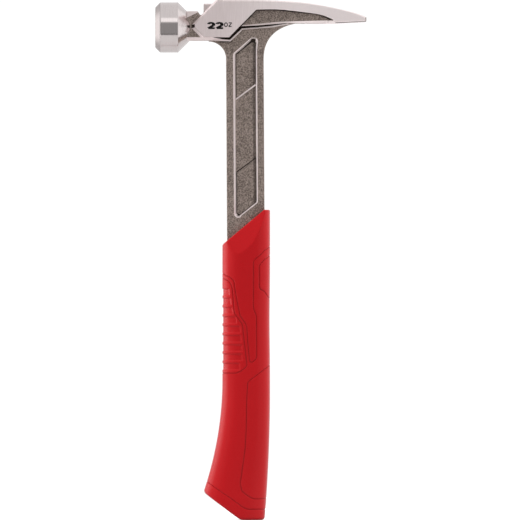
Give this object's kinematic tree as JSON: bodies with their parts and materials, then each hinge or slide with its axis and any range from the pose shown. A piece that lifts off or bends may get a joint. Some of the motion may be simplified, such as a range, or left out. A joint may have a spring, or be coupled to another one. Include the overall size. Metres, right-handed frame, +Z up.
{
  "type": "claw hammer",
  "caption": "All-steel straight-claw framing hammer: round smooth face, magnetic nail starter, I-beam shank and ribbed red rubber grip with a slanted mouth and butt.",
  "frame": {"origin": "centre of the striking face", "axes": "-X out of the striking face, +X towards the claw's tip, +Y across the head, +Z up, so that the handle hangs down -Z"},
  "size_m": [0.1545, 0.037, 0.381],
  "materials": {
    "forged_steel": "shot-blasted forging with ground poll, cheeks and claw",
    "magnet": "nickel plated",
    "core_nylon": "moulded",
    "grip_rubber": "soft satin overmould"
  },
  "bodies": {
    "root": {"steel_forging": "forged_steel", "nail_starter_magnet": "magnet", "grip_core": "core_nylon", "grip_skin": "grip_rubber"}
  },
  "joints": []
}
